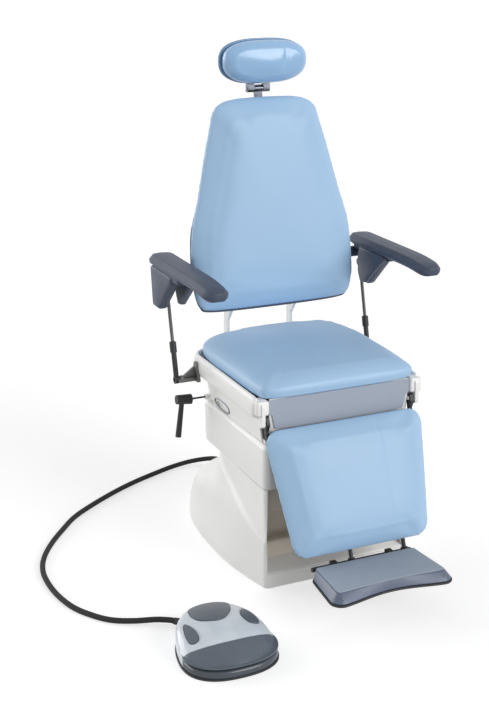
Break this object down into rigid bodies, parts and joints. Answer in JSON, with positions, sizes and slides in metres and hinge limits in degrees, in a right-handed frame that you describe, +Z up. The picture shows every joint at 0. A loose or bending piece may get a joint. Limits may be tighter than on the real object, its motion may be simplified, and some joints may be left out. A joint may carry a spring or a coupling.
{
  "type": "ear nose and throat examination chair",
  "caption": "Powered examination chair with a lift column, swivel seat, reclining back, levelled armrests, headrest, rising leg rest with footplate, and a corded foot control.",
  "frame": {"origin": "on the floor at the axis of the lift column, in the base plate's underside", "axes": "+Z up, -Y the way the chair faces, +X to the right of a viewer who faces the chair"},
  "size_m": [1.1954, 1.3568, 1.5191],
  "materials": {
    "upholstery": "satin light blue coated fabric over foam",
    "gloss_upholstery": "glossy light blue coated fabric over foam",
    "apron": "matte grey-blue coated fabric flap",
    "white_cover": "warm white moulded cover, semi-gloss",
    "white_metal": "white powder coat",
    "slate_plastic": "slate grey moulded plastic",
    "light_mat": "light grey foot mat",
    "dark_plastic": "near-black moulded plastic",
    "black_metal": "black powder coat",
    "grey_plastic": "pale blue-grey moulded plastic",
    "chrome": "polished",
    "steel": "turned and brushed",
    "dark_steel": "dark primer coat",
    "plywood": "bare plywood",
    "cord_rubber": "black rubber sheath"
  },
  "bodies": {
    "base": {"base_plate": "dark_steel", "base_cover": "white_cover", "lift_column": "steel", "lift_motor": "dark_steel", "cord_gland": "dark_plastic", "control_cord": "cord_rubber", "control_base": "dark_plastic", "control_housing": "grey_plastic", "cord_relief": "dark_plastic"},
    "lift": {"lift_ram": "steel", "swivel_bearing": "steel"},
    "seat": {"turntable": "steel", "upper_cover": "white_cover", "seat_tub": "white_cover", "seat_pan": "dark_steel", "seat_board": "plywood", "seat_pad": "upholstery", "front_apron": "apron", "leg_bracket_left": "white_metal", "leg_bracket_right": "white_metal", "link_bracket_left": "black_metal", "link_bracket_right": "black_metal", "lever_boss": "white_cover"},
    "lever": {"lock_lever": "dark_plastic"},
    "back": {"recline_tube": "steel", "back_spine_left": "white_metal", "back_spine_right": "white_metal", "back_shell": "slate_plastic", "back_pad": "upholstery", "arm_axle": "steel", "head_guide": "dark_plastic"},
    "arm_left": {"arm_pad_left": "slate_plastic", "arm_carrier_left": "slate_plastic"},
    "arm_right": {"arm_pad_right": "slate_plastic", "arm_carrier_right": "slate_plastic"},
    "link_left": {"link_sleeve_left": "black_metal", "link_rod_left": "steel"},
    "link_right": {"link_sleeve_right": "black_metal", "link_rod_right": "steel"},
    "head_slide": {"head_stem": "chrome"},
    "head": {"head_bracket": "chrome", "head_pin": "steel", "head_shell": "dark_plastic", "head_pad": "gloss_upholstery"},
    "leg": {"leg_rail_left": "black_metal", "leg_rail_right": "black_metal", "leg_bar": "black_metal", "leg_shell": "dark_plastic", "leg_pad": "upholstery", "foot_post_left": "black_metal", "foot_post_right": "black_metal"},
    "foot": {"foot_bar": "black_metal", "foot_rim": "dark_plastic", "foot_body": "slate_plastic", "foot_mat": "light_mat"},
    "pedal": {"control_pedal": "slate_plastic"},
    "button_rear": {"control_button_rear": "slate_plastic"},
    "button_left": {"control_button_left": "slate_plastic"},
    "button_right": {"control_button_right": "slate_plastic"}
  },
  "joints": [
    {"name": "lift_slide", "type": "slide", "parent": "base", "child": "lift", "axis": [0, 0, 1], "range_m": [0, 0.18]},
    {"name": "swivel", "type": "hinge", "parent": "lift", "child": "seat", "pos_m": [0, 0, 0.3455], "axis": [0, 0, 1], "range_deg": [-90, 90]},
    {"name": "lever_turn", "type": "hinge", "parent": "seat", "child": "lever", "pos_m": [-0.27, 0.165, 0.456], "axis": [1, 0, 0], "range_deg": [-35, 35]},
    {"name": "recline", "type": "hinge", "parent": "seat", "child": "back", "pos_m": [0, 0.19, 0.555], "axis": [-1, 0, 0], "range_deg": [0, 70]},
    {"name": "arm_level_left", "type": "hinge", "parent": "back", "child": "arm_left", "pos_m": [-0.346, 0.26, 0.84], "axis": [-1, 0, 0], "range_deg": [-70, 0]},
    {"name": "link_swing_left", "type": "hinge", "parent": "seat", "child": "link_left", "pos_m": [-0.333, 0.165, 0.525], "axis": [-1, 0, 0], "range_deg": [0, 70]},
    {"name": "arm_level_right", "type": "hinge", "parent": "back", "child": "arm_right", "pos_m": [0.346, 0.26, 0.84], "axis": [-1, 0, 0], "range_deg": [-70, 0]},
    {"name": "link_swing_right", "type": "hinge", "parent": "seat", "child": "link_right", "pos_m": [0.333, 0.165, 0.525], "axis": [-1, 0, 0], "range_deg": [0, 70]},
    {"name": "head_height", "type": "slide", "parent": "back", "child": "head_slide", "axis": [0, 0.1564, 0.9877], "range_m": [0, 0.1]},
    {"name": "head_tilt", "type": "hinge", "parent": "head_slide", "child": "head", "pos_m": [0, 0.30424, 1.36914], "axis": [-1, 0, 0], "range_deg": [-12, 40]},
    {"name": "leg_raise", "type": "hinge", "parent": "seat", "child": "leg", "pos_m": [0, -0.262, 0.525], "axis": [-1, 0, 0], "range_deg": [0, 64]},
    {"name": "foot_tilt", "type": "hinge", "parent": "leg", "child": "foot", "pos_m": [0, -0.41475, 0.11863], "axis": [-1, 0, 0], "range_deg": [0, 22]},
    {"name": "pedal_press", "type": "hinge", "parent": "base", "child": "pedal", "pos_m": [-0.48, -0.6, 0.0153], "axis": [1, 0, 0], "range_deg": [0, 4], "stiffness_Nm_per_rad": 12, "springref_deg": -2.86},
    {"name": "button_rear_press", "type": "slide", "parent": "base", "child": "button_rear", "axis": [0, 0, -1], "range_m": [0, 0.003], "stiffness_N_per_m": 900, "springref_m": -0.002},
    {"name": "button_left_press", "type": "slide", "parent": "base", "child": "button_left", "axis": [0, 0, -1], "range_m": [0, 0.003], "stiffness_N_per_m": 900, "springref_m": -0.002},
    {"name": "button_right_press", "type": "slide", "parent": "base", "child": "button_right", "axis": [0, 0, -1], "range_m": [0, 0.003], "stiffness_N_per_m": 900, "springref_m": -0.002}
  ],
  "couplings": [
    {"joint": "arm_level_left", "follows": "recline", "ratio": -1},
    {"joint": "arm_level_right", "follows": "recline", "ratio": -1},
    {"joint": "link_swing_left", "follows": "recline", "ratio": 1},
    {"joint": "link_swing_right", "follows": "recline", "ratio": 1},
    {"joint": "leg_raise", "follows": "recline", "ratio": 0.91429}
  ]
}
